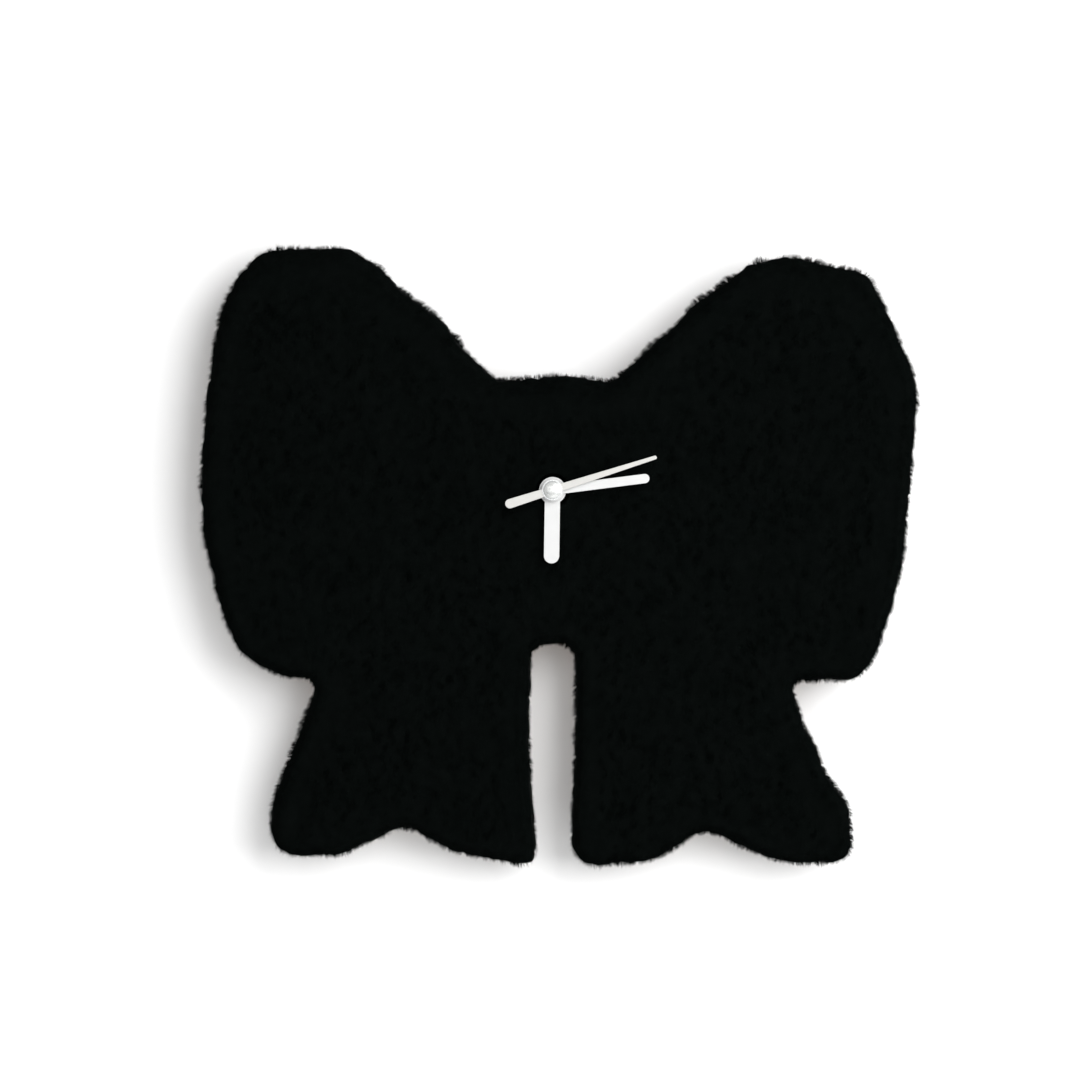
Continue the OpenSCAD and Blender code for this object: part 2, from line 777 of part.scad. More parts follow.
module second_hand_tube() {
    color("#c9a24b") dial_plane() ring(0.9, pin_r, minute_pipe_end + 0.2, second_back);
}

module hand_cap() {
    dome_r = cap_r - 0.4;
    ball_r = (dome_r * dome_r + cap_dome_h * cap_dome_h) / (2 * cap_dome_h);
    rim_front = cap_back + cap_rim_t;
    color("#dfe1e2") dial_plane() {
        disc(cap_r, cap_back, rim_front);
        intersection() {
            translate([0, 0, rim_front + cap_dome_h - ball_r]) sphere(r = ball_r);
            disc(cap_r, rim_front - 0.1, rim_front + cap_dome_h + 1);
        }
    }
}

fur_cover();
backing_board();
front_case();
rear_case();
gear_plate();
threaded_bushing();
hex_nut();
brass_washer();
rubber_washer();
hanger_plate();
stator_plate();
coil_core();
coil_bobbin();
coil_winding();
circuit_board();
clock_chip();
quartz_crystal();
battery();
positive_contact();
negative_contact();
rotor_magnet();
rotor_pinion();
intermediate_wheel();
second_wheel();
third_wheel();
centre_wheel();
clutch_spring();
minute_arbor();
minute_wheel();
hour_wheel();
setting_knob();
hour_hand();
minute_hand();
second_hand();
second_hand_tube();
hand_cap();
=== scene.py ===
"""A bow-shaped wall clock in black long-pile fur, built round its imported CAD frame.

Metres throughout. The wall is the plane y = 0, the clock hangs in front of it towards -y, z is up, and the
hands turn about the y axis at x = 0, z = 0.
"""

import json
import math

import bmesh
import bpy
import numpy as np
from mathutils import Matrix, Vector

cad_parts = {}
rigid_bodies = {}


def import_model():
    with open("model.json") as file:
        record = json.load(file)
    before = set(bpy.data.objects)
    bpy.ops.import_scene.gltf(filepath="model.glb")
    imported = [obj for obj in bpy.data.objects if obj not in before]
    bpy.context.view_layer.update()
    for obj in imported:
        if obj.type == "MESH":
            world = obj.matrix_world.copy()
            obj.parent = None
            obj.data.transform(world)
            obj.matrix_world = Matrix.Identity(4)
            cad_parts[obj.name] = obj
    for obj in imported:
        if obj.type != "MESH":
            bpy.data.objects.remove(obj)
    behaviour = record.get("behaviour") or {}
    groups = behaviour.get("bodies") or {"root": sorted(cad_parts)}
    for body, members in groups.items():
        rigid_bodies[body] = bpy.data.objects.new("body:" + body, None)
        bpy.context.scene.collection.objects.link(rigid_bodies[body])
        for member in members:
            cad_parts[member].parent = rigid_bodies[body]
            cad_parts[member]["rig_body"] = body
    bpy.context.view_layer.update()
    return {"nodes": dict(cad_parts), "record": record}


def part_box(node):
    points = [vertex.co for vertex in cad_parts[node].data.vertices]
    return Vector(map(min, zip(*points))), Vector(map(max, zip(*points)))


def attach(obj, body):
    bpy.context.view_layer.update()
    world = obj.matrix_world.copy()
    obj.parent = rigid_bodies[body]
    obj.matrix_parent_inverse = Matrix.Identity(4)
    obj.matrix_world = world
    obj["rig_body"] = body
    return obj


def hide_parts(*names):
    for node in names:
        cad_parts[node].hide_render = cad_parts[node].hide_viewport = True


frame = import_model()
nodes = frame["nodes"]

# ---------------------------------------------------------------- sizes

FABRIC_FRONT = -0.0238     # front face of the fabric's woven ground
FABRIC_BACK = -0.0164      # its turned-in border behind the board
FABRIC_THICK = 0.0012
PILE_SIDE = 0.0050         # depth of the pile round the sides
EDGE_RADIUS = 0.0018       # the board's edge, softened by the fabric
BORDER = 0.0150            # the border's width, from the outline
NUT_CLEAR = 0.0074         # radius of the bare fabric round the nut
HOLE = 0.0042              # radius of the fabric's hole at the bushing
BOARD_FRONT, BOARD_BACK = -0.0226, -0.0176
MIDDLE = -0.0200           # a plane that cuts both the pile and the board's pocket
BORDER_MIDDLE = -0.0145    # a plane that cuts the border behind the board
FRONT_HEIGHT = 0.0071      # from the fabric to the pile's front surface
BACK_HEIGHT = 0.0038       # the same behind the border
BOSS = 0.0054              # radius at which the fibres round the hub end, behind the hour hand's disc
HUB_WALL = 0.0095          # radius inside which the underfur is the wall round the hub
BEHIND = -0.0150           # the underfur from here to the wall is the border's
SUNK_FRONT = 0.0019        # how far the underfur lies below the pile's surface
SUNK_BACK = 0.0014         # the same on the border
LUMPS = 0.0006             # height of the underfur's lumps
RIM = 0.0040               # depth inside the outline in which the underfur lies higher round the sides
RIM_RISE = 0.0009          # by how much it does so there
TOP_RISE = 0.0006          # how much more it does along the top
HUB_RISE = 0.0008          # how far the hub's wall comes in towards the nut
MOST_FIBRES = 21000        # in one mesh

# The way the pile lies: down the wall
NAP = np.array([0.06, 0.0, -1.0])
# Widths of the tufts
FRONT_TUFT, SIDE_TUFT, BACK_TUFT = 0.0042, 0.0040, 0.0045
# Steps of the fibres' grid on the front and the border, and the number of fibres round the sides and the hub
FRONT_PITCH, BACK_PITCH = 0.00062, 0.00085
SIDE_COUNT, HUB_COUNT = 52000, 2600
# The least and the most thickness of a fibre; the border's are as thick as the sides'
FRONT_THICK, SIDE_THICK, HUB_THICK = (0.00016, 0.00030), (0.00018, 0.00030), (0.00020, 0.00032)
# The least and the most that a fibre leans over
FRONT_LEAN, SIDE_LEAN, BACK_LEAN = (0.0045, 0.0085), (0.0012, 0.0030), (0.0035, 0.0060)
# The share of the way to the middle of its tuft that a fibre's tip is drawn
FRONT_DRAW, SIDE_DRAW, BACK_DRAW = 0.32, 0.3, 0.5
# Depth inside the outline where the front pile starts to rise to its full height, and how far on it does so
EDGE_FROM, EDGE_FADE = 0.0065, 0.0095
# Radius inside which the front pile turns in to the hub, and the ring over which that fades out
HUB_FROM, HUB_FADE = 0.0105, 0.0065
# Round the nut: the outermost root's radius, and the least and the most of the tips' radius and height
HUB_ROOTS = 0.0100
HUB_TIPS, HUB_HEIGHTS = (0.0049, 0.0062), (0.0050, 0.0068)
# Shares of the side's fibres that stand on its front and back roundings, and the steps of its loop
FRONT_SHARE, BACK_SHARE = 0.34, 0.16
SIDE_STEP = 0.0005
# How much longer than the pile's depth the side's fibres are, and how much more on upward edges; the height
# of the waves in their tips; and how much fuller the front and back roundings are than a straight change
EXTRA, UPPER_EXTRA, WAVES = 0.0006, 0.0011, 0.0009
FRONT_FULL, BACK_FULL = 0.0012, 0.0004
# The knot's half width, and the width beside it over which the lobes' deeper tufts set in
KNOT, KNOT_FADE = 0.030, 0.020

rng = np.random.default_rng(11)


# ---------------------------------------------------------------- helpers

def linked(name, data):
    """A new object of that name in the scene."""
    obj = bpy.data.objects.new(name, data)
    bpy.context.scene.collection.objects.link(obj)
    return obj


def panel(name, corners, material):
    """A flat four-cornered surface."""
    mesh = bpy.data.meshes.new(name)
    mesh.from_pydata([tuple(corner) for corner in corners], [], [(0, 1, 2, 3)])
    mesh.update()
    mesh.materials.append(material)
    return linked(name, mesh)


def shader(name, base=(0.5, 0.5, 0.5), **sockets):
    """A material whose only shader is a Principled one, with constants on its own sockets."""
    mat = bpy.data.materials.new(name)
    mat.use_nodes = True
    tree = mat.node_tree
    bsdf = tree.nodes["Principled BSDF"]
    bsdf.inputs["Base Color"].default_value = (*base, 1)
    for key, value in sockets.items():
        bsdf.inputs[key.replace("_", " ")].default_value = value
    return mat, tree, bsdf


def node(tree, kind, **inputs):
    n = tree.nodes.new(kind)
    for key, value in inputs.items():
        n.inputs[key.replace("_", " ")].default_value = value
    return n


def links(tree, *pairs):
    for out, into in pairs:
        tree.links.new(out, into)


def calc(tree, operation, *values):
    """The result of a math node, whose values are numbers or other nodes' outputs."""
    n = tree.nodes.new("ShaderNodeMath")
    n.operation = operation
    for socket, value in zip(n.inputs, values):
        if isinstance(value, float):
            socket.default_value = value
        else:
            tree.links.new(value, socket)
    return n.outputs[0]


def multiplied(tree, colour, by, factor=1.0):
    n = node(tree, "ShaderNodeMix", Factor=factor)
    n.data_type, n.blend_type = "RGBA", "MULTIPLY"
    links(tree, (colour, n.inputs[6]), (by, n.inputs[7]))
    return n.outputs[2]


def object_coords(tree, scale=(1, 1, 1)):
    coords = tree.nodes.new("ShaderNodeTexCoord")
    mapping = tree.nodes.new("ShaderNodeMapping")
    mapping.inputs["Scale"].default_value = scale
    tree.links.new(coords.outputs["Object"], mapping.inputs["Vector"])
    return mapping.outputs["Vector"]


def ramp(tree, source, stops):
    r = tree.nodes.new("ShaderNodeValToRGB")
    while len(r.color_ramp.elements) < len(stops):
        r.color_ramp.elements.new(0.5)
    for element, (place, colour) in zip(r.color_ramp.elements, stops):
        element.position = place
        element.color = (*colour, 1)
    tree.links.new(source, r.inputs["Fac"])
    return r.outputs["Color"]


def grey(v):
    return (v, v, v)


def noise(tree, vector, scale, detail=3.0, rough=0.5):
    n = node(tree, "ShaderNodeTexNoise", Scale=scale, Detail=detail, Roughness=rough)
    tree.links.new(vector, n.inputs["Vector"])
    return n.outputs["Fac"]


def bump(tree, bsdf, height, distance):
    b = node(tree, "ShaderNodeBump", Strength=1.0, Distance=distance)
    tree.links.new(height, b.inputs["Height"])
    tree.links.new(b.outputs["Normal"], bsdf.inputs["Normal"])


def mottled(name, dark, light, scale, rough, bump_depth=0.0, bump_scale=None, **sockets):
    """Colour that wanders between two tones, with roughness and a fine relief to match."""
    mat, tree, bsdf = shader(name, **sockets)
    vector = object_coords(tree)
    tone = noise(tree, vector, scale)
    fine = noise(tree, vector, bump_scale or scale * 3, 4.0, 0.6)
    links(tree, (ramp(tree, tone, [(0.3, dark), (0.7, light)]), bsdf.inputs["Base Color"]),
          (ramp(tree, fine, [(0.3, grey(rough[0])), (0.7, grey(rough[1]))]), bsdf.inputs["Roughness"]))
    if bump_depth:
        bump(tree, bsdf, fine, bump_depth)
    return mat


# ---------------------------------------------------------------- camera

VIEW_CENTRE = Vector((-0.0060, -0.024, -0.0227))
FRAME_WIDTH = 0.502
DISTANCE = 2.2
AZIMUTH, ELEVATION = math.radians(1.3), math.radians(-1.9)
SENSOR = 36

cam_data = bpy.data.cameras.new("camera")
cam = linked("camera", cam_data)
cam.location = VIEW_CENTRE + DISTANCE * Vector((
    math.sin(AZIMUTH) * math.cos(ELEVATION), -math.cos(AZIMUTH) * math.cos(ELEVATION), math.sin(ELEVATION)))
cam.rotation_euler = (VIEW_CENTRE - cam.location).to_track_quat("-Z", "Y").to_euler()
cam_data.sensor_width = SENSOR
cam_data.lens = SENSOR * DISTANCE / FRAME_WIDTH
cam_data.clip_end = 50
bpy.context.scene.camera = cam

# ---------------------------------------------------------------- wall, floor and light

# The wall can be seen through from behind, and shadow rays pass it, so the back lights reach the clock
wall_mat, tree, bsdf = shader("wall_paint", (0.88, 0.88, 0.88), Roughness=0.9)
geometry = tree.nodes.new("ShaderNodeNewGeometry")
path = tree.nodes.new("ShaderNodeLightPath")
clear = tree.nodes.new("ShaderNodeBsdfTransparent")
mix = tree.nodes.new("ShaderNodeMixShader")
passed = calc(tree, "MAXIMUM", geometry.outputs["Backfacing"], path.outputs["Is Shadow Ray"])
links(tree, (passed, mix.inputs["Fac"]), (bsdf.outputs[0], mix.inputs[1]), (clear.outputs[0], mix.inputs[2]),
      (mix.outputs[0], tree.nodes["Material Output"].inputs["Surface"]))
bump(tree, bsdf, noise(tree, object_coords(tree), 60.0, 2.0), 0.0004)

ROOM, FLOOR, WALL = 3.0, -1.1, 0.0006
wall_corners = [(-ROOM, WALL, FLOOR), (ROOM, WALL, FLOOR), (ROOM, WALL, ROOM), (-ROOM, WALL, ROOM)]
wall = panel("wall", wall_corners, wall_mat)
floor_mat = mottled("floor_paint", grey(0.78), grey(0.82), 3.0, (0.6, 0.8))
floor_corners = [(-ROOM, -ROOM, FLOOR), (ROOM, -ROOM, FLOOR), (ROOM, ROOM, FLOOR), (-ROOM, ROOM, FLOOR)]
floor = panel("floor", floor_corners, floor_mat)


def area_light(name, place, aim, width, height, power):
    data = bpy.data.lights.new(name, "AREA")
    data.shape = "RECTANGLE"
    data.size, data.size_y, data.energy = width, height, power
    obj = linked(name, data)
    obj.location = place
    obj.rotation_euler = (Vector(aim) - Vector(place)).to_track_quat("-Z", "Y").to_euler()


area_light("key", (1.25, -1.45, 0.47), (0, 0, -0.03), 1.9, 2.0, 64)
area_light("fill", (-0.4, -2.6, 0.4), (0, 0, 0), 2.5, 2.0, 18)
area_light("back", (0.9, 1.9, 0.9), (0, 0, 0), 1.6, 1.4, 45)
area_light("back_fill", (-1.3, 1.5, 0.1), (0, 0, 0), 1.4, 1.4, 18)

# Two dark shapes in the room that only a glossy surface mirrors: azimuth, middle's height, width, tallness
CARDS = ((-41, -0.46, 0.42, 0.55), (-21, 0.33, 0.36, 0.42))
CARD_DISTANCE = 2.0
card_mat = mottled("dark_card", grey(0.02), grey(0.04), 4.0, (0.7, 0.9))
for k, (azimuth, height, wide, tall) in enumerate(CARDS):
    a = math.radians(azimuth)
    place = Vector((CARD_DISTANCE * math.sin(a), -CARD_DISTANCE * math.cos(a), height))
    across = Vector((math.cos(a), math.sin(a), 0)) * wide / 2
    up = Vector((0, 0, tall / 2))
    corners = [place - across - up, place + across - up, place + across + up, place - across + up]
    card = panel(f"dark_card_{k + 1}", corners, card_mat)
    card.visible_camera = card.visible_diffuse = card.visible_shadow = False

# A white world, dimmer for diffuse light than where the camera or a glossy surface sees it
WORLD_DIM, WORLD_SEEN = 0.32, 0.92
world = bpy.data.worlds.new("studio")
bpy.context.scene.world = world
world.use_nodes = True
tree = world.node_tree
seen = tree.nodes.new("ShaderNodeLightPath")
strength = node(tree, "ShaderNodeMapRange")
strength.inputs["To Min"].default_value, strength.inputs["To Max"].default_value = WORLD_DIM, WORLD_SEEN
mirrored_or_seen = calc(tree, "MAXIMUM", seen.outputs["Is Glossy Ray"], seen.outputs["Is Camera Ray"])
links(tree, (mirrored_or_seen, strength.inputs["Value"]),
      (strength.outputs["Result"], tree.nodes["Background"].inputs["Strength"]))
tree.nodes["Background"].inputs["Color"].default_value = (1, 1, 1, 1)

bpy.context.scene.view_settings.view_transform = "Standard"
bpy.context.scene.view_settings.look = "None"
bpy.context.scene.view_settings.exposure = -0.05

# ---------------------------------------------------------------- the bow's outlines, from the CAD cover

def cover_loops(depth):
    """Where the plane y = depth cuts the fur's CAD solid: anticlockwise loops of (x, z), longest first."""
    bm = bmesh.new()
    bm.from_mesh(nodes["fur_cover"].data)
    bmesh.ops.remove_doubles(bm, verts=bm.verts, dist=1e-6)
    cut = bmesh.ops.bisect_plane(bm, geom=bm.verts[:] + bm.edges[:] + bm.faces[:], dist=1e-7,
                                 plane_co=(0, depth, 0), plane_no=(0, 1, 0))["geom_cut"]
    steps = {}
    for e in cut:
        if isinstance(e, bmesh.types.BMEdge):
            a, b = e.verts
            steps.setdefault(a, []).append(b)
            steps.setdefault(b, []).append(a)
    loops, left = [], set(steps)
    while left:
        start = min(left, key=lambda v: (v.co.x, v.co.z))
        loop, previous, here = [start], None, start
        while True:
            onward = [v for v in steps[here] if v is not previous and v in left]
            left.discard(here)
            if not onward or onward[0] is start:
                break
            previous, here = here, onward[0]
            loop.append(here)
        loops.append(np.array([(v.co.x, v.co.z) for v in loop]))
    bm.free()
    out = []
    for loop in sorted(loops, key=lambda p: -np.linalg.norm(np.diff(p, axis=0), axis=1).sum()):
        x, z = loop[:, 0], loop[:, 1]
        out.append(loop[::-1] if (x * np.roll(z, -1) - np.roll(x, -1) * z).sum() < 0 else loop)
    return out


def resampled(loop, step):
    closed = np.vstack([loop, loop[:1]])
    run = np.concatenate([[0], np.cumsum(np.linalg.norm(np.diff(closed, axis=0), axis=1))])
    at = np.linspace(0, run[-1], int(round(run[-1] / step)), endpoint=False)
    return np.c_[np.interp(at, run, closed[:, 0]), np.interp(at, run, closed[:, 1])]


def outward(loop):
    along = np.roll(loop, -1, axis=0) - np.roll(loop, 1, axis=0)
    along /= np.linalg.norm(along, axis=1, keepdims=True)
    return np.c_[along[:, 1], -along[:, 0]]


middle_loops = cover_loops(MIDDLE)
outline = resampled(middle_loops[0], 0.001)
board_loop = resampled(middle_loops[1], 0.0015)
border_loop = resampled(cover_loops(BORDER_MIDDLE)[1], 0.002)


class Field:
    """Distance inside the outline on a 1 mm grid, read with bilinear steps between; negative outside."""
    pitch = 0.001
    margin = 0.014

    def __init__(self, loop):
        self.low = loop.min(0) - self.margin
        self.count = np.ceil((loop.max(0) + self.margin - self.low) / self.pitch).astype(int) + 1
        gx, gz = np.meshgrid(*(self.low[i] + self.pitch * np.arange(self.count[i]) for i in (0, 1)),
                             indexing="ij")
        points = np.c_[gx.ravel(), gz.ravel()]
        a, b = loop, np.roll(loop, -1, axis=0)
        step = b - a
        rise = np.where(step[:, 1] == 0, 1e-12, step[:, 1])
        best = np.empty(len(points))
        inside = np.empty(len(points), bool)
        for i in range(0, len(points), 2000):
            p = points[i:i + 2000, None]
            best[i:i + 2000] = np.sqrt(((p - a) ** 2).sum(-1).min(1))
            across = (a[:, 1] > p[..., 1]) != (b[:, 1] > p[..., 1])
            meet = a[:, 0] + (p[..., 1] - a[:, 1]) * step[:, 0] / rise
            inside[i:i + 2000] = (across & (p[..., 0] < meet)).sum(1) % 2 == 1
        self.grid = np.where(inside, best, -best).reshape(self.count)

    def depth(self, points):
        u = (points - self.low) / self.pitch
        i = np.clip(np.floor(u).astype(int), 0, self.count - 2)
        f = np.clip(u - i, 0, 1)
        (x, z), (fx, fz) = i.T, f.T
        g = self.grid
        return ((g[x, z] * (1 - fx) + g[x + 1, z] * fx) * (1 - fz)
                + (g[x, z + 1] * (1 - fx) + g[x + 1, z + 1] * fx) * fz)


field = Field(outline)


def value_noise(points, pitch, seed):
    """Smooth noise from -1 to 1 at 2-D points, with bumps about pitch apart."""
    table = np.random.default_rng(seed).uniform(-1, 1, (256, 256))
    u = np.asarray(points) / pitch + 1000
    i = np.floor(u).astype(int)
    f = u - i
    f = f * f * (3 - 2 * f)
    (x, z), (fx, fz) = i.T % 256, f.T
    x1, z1 = (x + 1) % 256, (z + 1) % 256
    return ((table[x, z] * (1 - fx) + table[x1, z] * fx) * (1 - fz)
            + (table[x, z1] * (1 - fx) + table[x1, z1] * fx) * fz)


def clumps(points, pitch, seed):
    """The tuft of each 2-D point: the way to its centre, and three random numbers that the tuft shares."""
    table = np.random.default_rng(seed).uniform(0, 1, (256, 256, 5))
    cell = np.floor(points / pitch).astype(int)
    best = np.full(len(points), np.inf)
    way, own = np.zeros((len(points), 2)), np.zeros((len(points), 3))
    for dx in (-1, 0, 1):
        for dz in (-1, 0, 1):
            c = cell + (dx, dz)
            entry = table[c[:, 0] % 256, c[:, 1] % 256]
            to = (c + 0.15 + 0.7 * entry[:, :2]) * pitch - points
            far = np.linalg.norm(to, axis=1)
            near = far < best
            best[near], way[near], own[near] = far[near], to[near], entry[near, 2:]
    return way, own


# ---------------------------------------------------------------- the fur's woven ground, round the board

def fabric_ground(material):
    """Front, sides and turned-in border as one closed sheet of the fabric's thickness."""
    bm = bmesh.new()
    normal = outward(board_loop)

    def ring(points, y):
        verts = [bm.verts.new((x, y, z)) for x, z in points]
        edges = [bm.edges.new((verts[i], verts[i - 1])) for i in range(len(verts))]
        return verts, edges

    def band(lower, upper):
        for i in range(len(lower[0])):
            bm.faces.new((lower[0][i - 1], lower[0][i], upper[0][i], upper[0][i - 1]))

    def flat(*rings):
        bmesh.ops.triangle_fill(bm, edges=[e for r in rings for e in r[1]], use_beauty=True)

    turn = np.linspace(0, math.pi / 2, 5)
    rings = [ring(board_loop + normal * (FABRIC_THICK - EDGE_RADIUS * (1 - math.sin(a))),
                  FABRIC_FRONT + EDGE_RADIUS * (1 - math.cos(a))) for a in turn]
    rings += [ring(board_loop + normal * (FABRIC_THICK - EDGE_RADIUS * (1 - math.cos(a))),
                   FABRIC_BACK - EDGE_RADIUS * (1 - math.sin(a))) for a in turn]
    for lower, upper in zip(rings, rings[1:]):
        band(lower, upper)
    edge_out, edge_in = ring(border_loop, FABRIC_BACK), ring(border_loop, BOARD_BACK)
    inner_back, inner_front = ring(board_loop, BOARD_BACK), ring(board_loop, BOARD_FRONT)
    flat(rings[-1], edge_out)
    band(edge_out, edge_in)
    flat(edge_in, inner_back)
    band(inner_back, inner_front)
    angle = np.linspace(0, 2 * math.pi, 40, endpoint=False)
    circle = HOLE * np.c_[np.cos(angle), np.sin(angle)]
    hole_in, hole_out = ring(circle, BOARD_FRONT), ring(circle, FABRIC_FRONT)
    flat(inner_front, hole_in)
    band(hole_in, hole_out)
    flat(hole_out, rings[0])
    bmesh.ops.recalc_face_normals(bm, faces=bm.faces)
    mesh = bpy.data.meshes.new("fabric_ground")
    bm.to_mesh(mesh)
    bm.free()
    mesh.materials.append(material)
    obj = linked("fabric_ground", mesh)
    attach(obj, "clock_body")
    return obj


def knitted(name):
    mat, tree, bsdf = shader(name, Sheen_Weight=0.15, Sheen_Roughness=0.5, Specular_IOR_Level=0.25)
    vector = object_coords(tree)
    wave_x = node(tree, "ShaderNodeTexWave", Scale=520.0, Distortion=1.5, Detail=2.0)
    wave_z = node(tree, "ShaderNodeTexWave", Scale=430.0, Distortion=1.5, Detail=2.0)
    wave_x.bands_direction, wave_z.bands_direction = "X", "Z"
    links(tree, (vector, wave_x.inputs["Vector"]), (vector, wave_z.inputs["Vector"]))
    loops = calc(tree, "MULTIPLY", wave_x.outputs["Fac"], wave_z.outputs["Fac"])
    links(tree, (ramp(tree, loops, [(0.1, (0.006, 0.006, 0.0065)), (0.8, (0.022, 0.022, 0.023))]),
                 bsdf.inputs["Base Color"]),
          (ramp(tree, noise(tree, vector, 300.0), [(0.3, grey(0.75)), (0.7, grey(0.95))]),
           bsdf.inputs["Roughness"]))
    bump(tree, bsdf, loops, 0.0002)
    return mat


ground = fabric_ground(knitted("knitted_ground"))


# ---------------------------------------------------------------- the pile

def pile_material(name, root, tip, rough, **sockets):
    """Near-black acrylic fibre: the attribute along runs from its root to its tip, darker at the root as
    painted shade deep in the pile, and tufts differ a little in tone.
    """
    mat, tree, bsdf = shader(name, **sockets)
    along = tree.nodes.new("ShaderNodeAttribute")
    along.attribute_name = "along"
    vector = object_coords(tree)
    patch = calc(tree, "MULTIPLY", noise(tree, vector, 260.0, 3.0), 0.6)
    # tone runs from the root's darker colour, painted shade deep in the pile, to the tip's
    tone = calc(tree, "MULTIPLY_ADD", along.outputs["Fac"], 0.55, patch)
    roughness = [(0.3, grey(rough - 0.07)), (0.7, grey(rough + 0.07))]
    links(tree, (ramp(tree, tone, [(0.15, root), (0.85, tip)]), bsdf.inputs["Base Color"]),
          (ramp(tree, noise(tree, vector, 90.0), roughness), bsdf.inputs["Roughness"]))
    return mat


# the root colours, darker than the tips', are painted shade deep in the pile
fibre = pile_material("pile_fibre", (0.0003, 0.00055, 0.00045), (0.0008, 0.00180, 0.0013), 0.55,
                      Specular_IOR_Level=0.006, Sheen_Weight=0.001, Sheen_Roughness=0.4)
under = pile_material("pile_under", (0.0006, 0.0010, 0.0009), (0.0015, 0.0023, 0.0020), 0.85,
                      Specular_IOR_Level=0.015)


def underfur():
    """The dense wool below the tips: the CAD cover's shape, sunk and tufted."""
    src = nodes["fur_cover"].data.copy()
    obj = linked("underfur", src)
    remesh = obj.modifiers.new("remesh", "REMESH")
    remesh.mode, remesh.voxel_size, remesh.use_smooth_shade = "VOXEL", 0.0015, True
    deps = bpy.context.evaluated_depsgraph_get()
    mesh = bpy.data.meshes.new_from_object(obj.evaluated_get(deps))
    obj.modifiers.clear()
    obj.data = mesh
    bpy.data.meshes.remove(src)
    mesh.name = "underfur"
    n = len(mesh.vertices)
    co, no = np.empty(n * 3), np.empty(n * 3)
    mesh.vertices.foreach_get("co", co)
    mesh.vertices.foreach_get("normal", no)
    co, no = co.reshape(-1, 3), no.reshape(-1, 3)
    flat, y = co[:, [0, 2]], co[:, 1]
    depth = field.depth(flat)
    # The walls of the board's pocket and the border's lip draw back under the fabric, and the hub's wall
    # comes in towards the nut
    near = 0.0006
    pocket = (depth > PILE_SIDE + 0.0005) & (y > BOARD_FRONT - near) & (y < BOARD_BACK + near)
    lip = (depth > BORDER - 0.0015) & (y >= BOARD_BACK + near)
    hub_wall = (np.hypot(flat[:, 0], flat[:, 1]) < HUB_WALL) & (y < FABRIC_FRONT + 0.0002)
    # Elsewhere it lies in lumps below the fibres' tips, a little higher round the sides and along the top
    lumps = 0.6 * value_noise(flat, 0.0035, 3) + 0.4 * value_noise(flat + co[:, [1]], 0.0016, 4)
    rim = np.clip(1 - depth / RIM, 0, 1) * (1 - np.abs(no[:, 1]))
    sink = np.where(y > BEHIND, SUNK_BACK, SUNK_FRONT) - LUMPS * lumps - RIM_RISE * rim * (1 + 0.4 * lumps)
    sink -= TOP_RISE * rim * np.clip(no[:, 2], 0, 1)
    sink = np.where(pocket | lip, SUNK_BACK, sink)
    sink = np.where(hub_wall, -HUB_RISE, sink)
    co -= no * sink[:, None]
    mesh.vertices.foreach_set("co", co.ravel())
    along = mesh.attributes.new("along", "FLOAT", "POINT")
    along.data.foreach_set("value", np.full(n, 0.2, np.float32))
    mesh.materials.clear()
    mesh.materials.append(under)
    mesh.update()
    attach(obj, "clock_body")
    return obj


def smooth_step(x):
    x = np.clip(x, 0, 1)
    return x * x * (3 - 2 * x)


def lean(normal, clump, way):
    """The way each fibre leans: the nap's direction, laid in the surface, turned a little with its tuft."""
    nap = NAP + np.c_[1.1 * (clump[:, 0] - 0.5), 0.5 * (clump[:, 1] - 0.5), 0.5 * (clump[:, 2] - 0.5)]
    nap = nap + way
    return nap - normal * (nap * normal).sum(1, keepdims=True)


def kept_in(root, over, least):
    """Shortens the lean of fibres whose tips would pass the outline, apart from a few that fray past it."""
    for _ in range(7):
        tip = root + over
        out = field.depth(tip[:, [0, 2]]) < least
        over = np.where(out[:, None], over * 0.78, over)
    return over


def scattered(pitch):
    """One (x, z) point at random in each square of a grid over the outline's box."""
    gx, gz = np.meshgrid(np.arange(outline[:, 0].min(), outline[:, 0].max(), pitch),
                         np.arange(outline[:, 1].min(), outline[:, 1].max(), pitch), indexing="ij")
    return np.c_[gx.ravel(), gz.ravel()] + rng.uniform(-0.5, 0.5, (gx.size, 2)) * pitch


def raised(q, y=0.0):
    """The (x, z) points, or directions, as (x, y, z)."""
    return np.c_[q[:, 0], np.full(len(q), y), q[:, 1]]


def front_strands(pitch):
    """The face: tufts that lie down the wall, get shorter towards the edge, and close in round the hub."""
    q = scattered(pitch)
    from_hub = np.linalg.norm(q, axis=1)
    q = q[(field.depth(q) > PILE_SIDE + EDGE_RADIUS) & (from_hub > NUT_CLEAR)]
    from_hub = np.linalg.norm(q, axis=1)
    to, own = clumps(q, FRONT_TUFT, 21)
    normal = np.tile([0.0, -1.0, 0.0], (len(q), 1))
    swirl = value_noise(q, 0.022, 8)[:, None] * [0.35, 0, 0]
    side = lean(normal, own, swirl)
    edge = smooth_step((field.depth(q) - EDGE_FROM) / EDGE_FADE)
    tufted = 0.81 + 0.10 * own[:, 2] + 0.05 * value_noise(q, 0.011, 9)
    high = FRONT_HEIGHT * (0.76 + 0.24 * edge) * tufted * rng.uniform(0.86, 1.06, len(q))
    over = side * rng.uniform(*FRONT_LEAN, len(q))[:, None] + raised(to) * FRONT_DRAW
    inward = from_hub - BOSS - 0.35 * (from_hub - NUT_CLEAR) - rng.uniform(0, 0.0006, len(q))
    closing = -raised(q) / from_hub[:, None] * inward[:, None]
    open_field = smooth_step((from_hub - HUB_FROM) / HUB_FADE)[:, None]
    over = closing * (1 - open_field) + over * open_field
    root = raised(q, FABRIC_FRONT)
    least = rng.normal(0.0004, 0.0007, len(q))
    return root, normal, kept_in(root, over, least), np.minimum(high, FRONT_HEIGHT)


